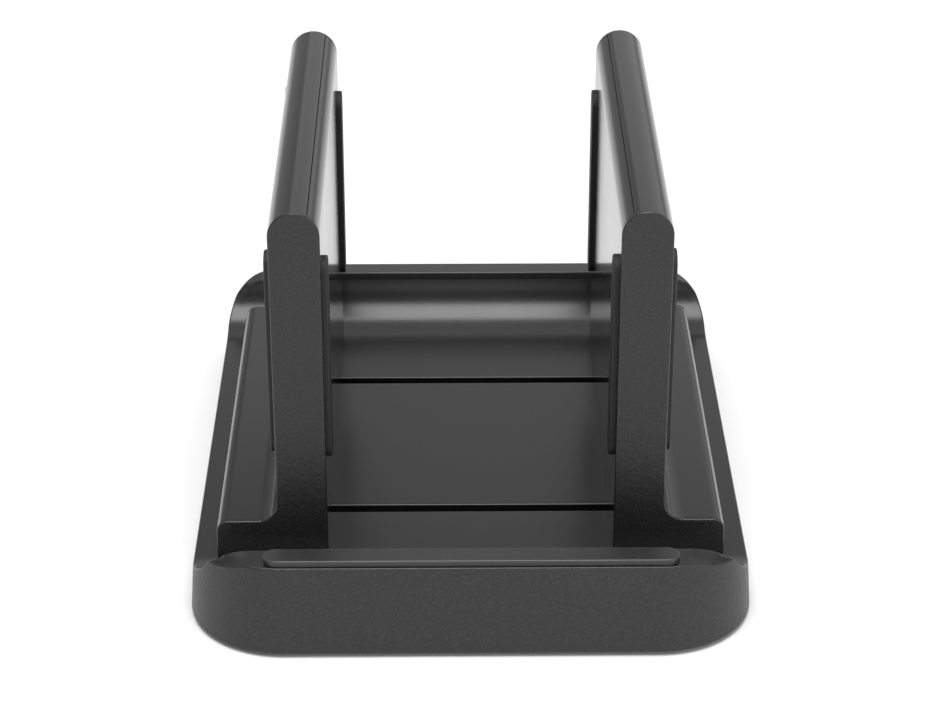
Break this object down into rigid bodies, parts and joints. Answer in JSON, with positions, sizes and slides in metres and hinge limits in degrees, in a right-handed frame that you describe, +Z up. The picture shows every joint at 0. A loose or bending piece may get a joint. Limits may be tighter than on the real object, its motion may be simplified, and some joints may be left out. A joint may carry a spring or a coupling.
{
  "type": "vertical laptop stand",
  "caption": "Vertical stand that holds a closed laptop on edge between padded upright arms, which slide along slots in a moulded tray with front and rear lips.",
  "frame": {"origin": "on the table, under the middle of the tray", "axes": "+X to the right, +Y from the front lip to the rear lip, +Z up"},
  "size_m": [0.15, 0.18, 0.1153],
  "materials": {
    "tray_plastic": "black moulded plastic, fine spark texture on the walls, satin on the floor and lips",
    "arm_plastic": "black moulded plastic, fine spark texture on the end faces, satin on the sides",
    "plate_steel": "black powder-coated steel sheet",
    "strip_rubber": "smooth matt rubber",
    "pad_rubber": "matt cellular rubber",
    "foot_rubber": "matt rubber",
    "screw_steel": "zinc-plated steel",
    "shoe_steel": "zinc-plated pressed steel",
    "insert_brass": "plain brass"
  },
  "bodies": {
    "tray": {"base_tray": "tray_plastic", "bottom_plate": "plate_steel", "front_lip_strip": "strip_rubber", "rear_lip_strip": "strip_rubber", "rubber_feet": "foot_rubber", "plate_screws": "screw_steel"},
    "left_arm": {"left_arm_shell": "arm_plastic", "left_arm_cover": "arm_plastic", "left_cover_screws": "screw_steel", "left_inner_front_pad": "pad_rubber", "left_inner_rear_pad": "pad_rubber", "left_outer_front_pad": "pad_rubber", "left_outer_rear_pad": "pad_rubber", "left_clamp_inserts": "insert_brass", "left_clamp_screws": "screw_steel", "left_front_clamp_shoe": "shoe_steel", "left_rear_clamp_shoe": "shoe_steel"},
    "right_arm": {"right_arm_shell": "arm_plastic", "right_arm_cover": "arm_plastic", "right_cover_screws": "screw_steel", "right_inner_front_pad": "pad_rubber", "right_inner_rear_pad": "pad_rubber", "right_outer_front_pad": "pad_rubber", "right_outer_rear_pad": "pad_rubber", "right_clamp_inserts": "insert_brass", "right_clamp_screws": "screw_steel", "right_front_clamp_shoe": "shoe_steel", "right_rear_clamp_shoe": "shoe_steel"}
  },
  "joints": [
    {"name": "left_arm_slide", "type": "slide", "parent": "tray", "child": "left_arm", "axis": [1, 0, 0], "range_m": [0, 0.036]},
    {"name": "right_arm_slide", "type": "slide", "parent": "tray", "child": "right_arm", "axis": [-1, 0, 0], "range_m": [0, 0.036]}
  ]
}
